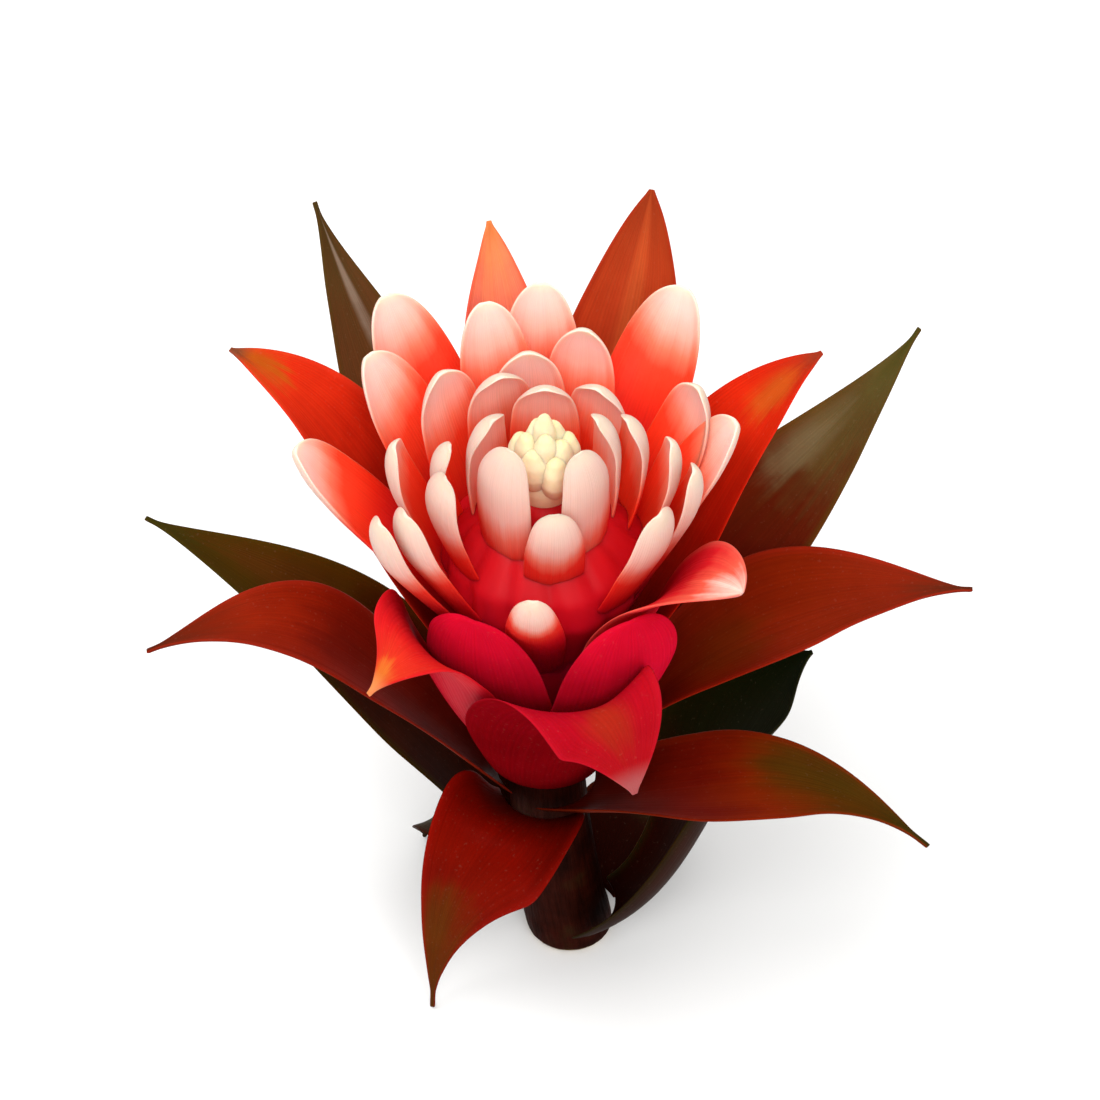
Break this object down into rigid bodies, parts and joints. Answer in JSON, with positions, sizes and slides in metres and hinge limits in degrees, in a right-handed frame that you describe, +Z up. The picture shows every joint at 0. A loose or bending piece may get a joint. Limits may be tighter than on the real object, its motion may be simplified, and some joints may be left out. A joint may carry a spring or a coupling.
{
  "type": "cut guzmania flower head",
  "caption": "Cut bromeliad flower head: dark strap-like leaf bracts and red bracts spiral round a crown of hooded white-tipped bracts with cream buds at its heart.",
  "frame": {"origin": "middle of the bounding box, on the surface that the cut stem stands on", "axes": "+Z up along the stem; the side that the picture shows faces -Y; +X is to the right of that view"},
  "size_m": [0.1559, 0.1242, 0.138],
  "materials": {
    "stem": "dull dark maroon",
    "leaf_bract": "satin, maroon running to olive at the point",
    "red_bract": "waxy satin red, orange at the point",
    "flower_head": "waxy satin, crimson to orange with creamy white tips",
    "bud": "soft satin cream"
  },
  "bodies": {
    "root": {"stem": "stem", "leaf_bract_01": "leaf_bract", "leaf_bract_02": "leaf_bract", "leaf_bract_03": "leaf_bract", "leaf_bract_04": "leaf_bract", "leaf_bract_05": "leaf_bract", "leaf_bract_06": "leaf_bract", "leaf_bract_07": "leaf_bract", "leaf_bract_08": "leaf_bract", "leaf_bract_09": "leaf_bract", "leaf_bract_10": "leaf_bract", "leaf_bract_11": "leaf_bract", "red_bract_01": "red_bract", "red_bract_02": "red_bract", "red_bract_03": "red_bract", "red_bract_04": "red_bract", "red_bract_05": "red_bract", "red_bract_06": "red_bract", "red_bract_07": "red_bract", "red_bract_08": "red_bract", "red_bract_09": "red_bract", "flower_head": "flower_head", "bud_cluster": "bud"}
  },
  "joints": []
}
